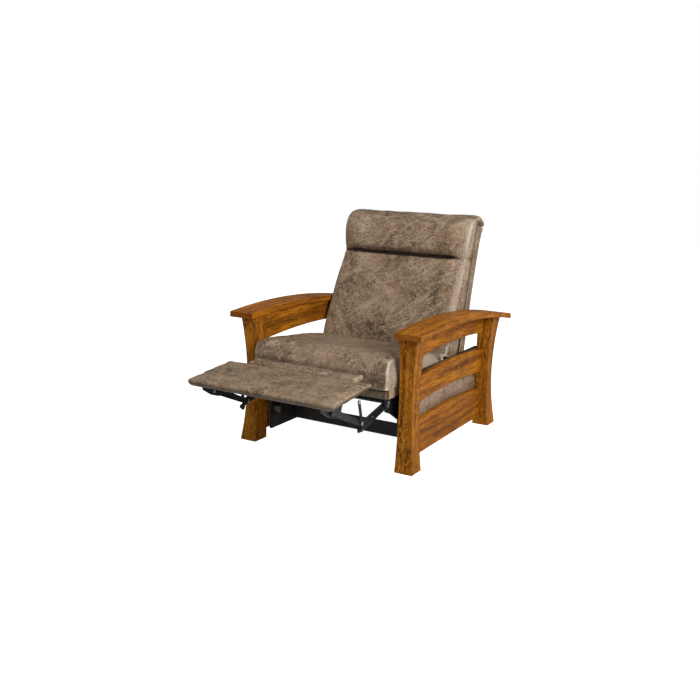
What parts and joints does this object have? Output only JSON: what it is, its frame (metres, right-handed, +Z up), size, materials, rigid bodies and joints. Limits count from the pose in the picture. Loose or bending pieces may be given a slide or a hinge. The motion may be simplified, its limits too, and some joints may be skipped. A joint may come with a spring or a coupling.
{
  "type": "recliner chair",
  "caption": "Bow-arm oak recliner with flared posts, arched side rails, a leather seat and back, and a link-carried footrest with a folding flap.",
  "frame": {"origin": "on the floor under the middle of the chair as it stands with the footrest out and the back upright", "axes": "+X to the sitter's left, +Y to the back of the chair, +Z up"},
  "size_m": [0.944, 1.4764, 1.0346],
  "materials": {
    "oak": "satin medium brown stain",
    "glide_felt": "matte",
    "black_board": "matte black paint",
    "leather": "distressed grey-brown",
    "padding_leather": "foam under distressed grey-brown leather",
    "front_rail_leather": "hardwood wrapped in leather",
    "zinc": "zinc plated",
    "dark_steel": "dark semi-gloss",
    "nylon": "matte white",
    "frame_wood": "plain hardwood",
    "webbing": "woven"
  },
  "bodies": {
    "frame": {"front_post_left": "oak", "front_post_right": "oak", "rear_post_left": "oak", "rear_post_right": "oak", "top_rail_left": "oak", "top_rail_right": "oak", "middle_rail_left": "oak", "middle_rail_right": "oak", "side_panel_left": "oak", "side_panel_right": "oak", "back_panel": "oak", "arm_left": "oak", "arm_right": "oak", "floor_glides": "glide_felt", "side_board_left": "black_board", "side_board_right": "black_board", "side_cover_left": "leather", "side_cover_right": "leather", "front_cross_rail": "black_board", "rear_cross_rail": "black_board", "spacer_blocks": "black_board", "frame_bolts": "zinc", "glide_track_left": "dark_steel", "glide_track_right": "dark_steel"},
    "seat": {"seat_plate_left": "dark_steel", "seat_plate_right": "dark_steel", "glide_shoes": "nylon", "seat_front_rail": "front_rail_leather", "seat_rear_rail": "frame_wood", "seat_side_rail_left": "frame_wood", "seat_side_rail_right": "frame_wood", "seat_webbing": "webbing", "seat_cushion": "padding_leather"},
    "drive_links": {"drive_link_left": "dark_steel", "drive_link_right": "dark_steel", "torque_tube": "dark_steel"},
    "control_links": {"control_link_left": "dark_steel", "control_link_right": "dark_steel"},
    "front_links": {"front_link_left": "dark_steel", "front_link_right": "dark_steel"},
    "top_links": {"top_link_left": "dark_steel", "top_link_right": "dark_steel"},
    "footrest": {"footrest_bracket_left": "dark_steel", "footrest_bracket_right": "dark_steel", "footrest_board": "frame_wood", "footrest_pad": "padding_leather", "flap_hinges": "dark_steel"},
    "flap": {"flap_straps": "dark_steel", "flap_board": "frame_wood", "flap_pad": "padding_leather"},
    "back": {"back_bracket_left": "dark_steel", "back_bracket_right": "dark_steel", "back_stile_left": "frame_wood", "back_stile_right": "frame_wood", "back_bottom_rail": "frame_wood", "back_top_rail": "frame_wood", "back_webbing": "webbing", "back_cushion": "padding_leather", "headrest_cushion": "padding_leather", "outside_back": "leather"}
  },
  "joints": [
    {"name": "seat_glide", "type": "slide", "parent": "frame", "child": "seat", "axis": [0, 1, 0], "range_m": [0, 0.0701]},
    {"name": "footrest_drive", "type": "hinge", "parent": "seat", "child": "drive_links", "pos_m": [0, -0.22287, 0.291], "axis": [1, 0, 0], "range_deg": [0, 134.84]},
    {"name": "control_link_pivot", "type": "hinge", "parent": "seat", "child": "control_links", "pos_m": [0, -0.22647, 0.2756], "axis": [1, 0, 0], "range_deg": [0, 131.8]},
    {"name": "front_link_pivot", "type": "hinge", "parent": "drive_links", "child": "front_links", "pos_m": [0, -0.42687, 0.248], "axis": [1, 0, 0], "range_deg": [-104.3, 0]},
    {"name": "top_link_pivot", "type": "hinge", "parent": "drive_links", "child": "top_links", "pos_m": [0, -0.40677, 0.2442], "axis": [1, 0, 0], "range_deg": [-110.5, 0]},
    {"name": "footrest_pivot", "type": "hinge", "parent": "front_links", "child": "footrest", "pos_m": [0, -0.64587, 0.342], "axis": [1, 0, 0], "range_deg": [0, 54.7]},
    {"name": "flap_fold", "type": "hinge", "parent": "footrest", "child": "flap", "pos_m": [0, -0.49177, 0.38304], "axis": [1, 0, 0], "range_deg": [-175.1, 0]},
    {"name": "back_recline", "type": "hinge", "parent": "seat", "child": "back", "pos_m": [0, 0.35113, 0.33], "axis": [-1, 0, 0], "range_deg": [0, 38]}
  ],
  "couplings": [
    {"joint": "seat_glide", "follows": "footrest_drive", "m_per_rad": 0.029744},
    {"joint": "control_link_pivot", "follows": "footrest_drive", "ratio": 0.97698},
    {"joint": "front_link_pivot", "follows": "footrest_drive", "ratio": -0.77288},
    {"joint": "top_link_pivot", "follows": "footrest_drive", "ratio": -0.81883},
    {"joint": "footrest_pivot", "follows": "footrest_drive", "ratio": 0.40474},
    {"joint": "flap_fold", "follows": "footrest_drive", "ratio": -1.2978}
  ]
}
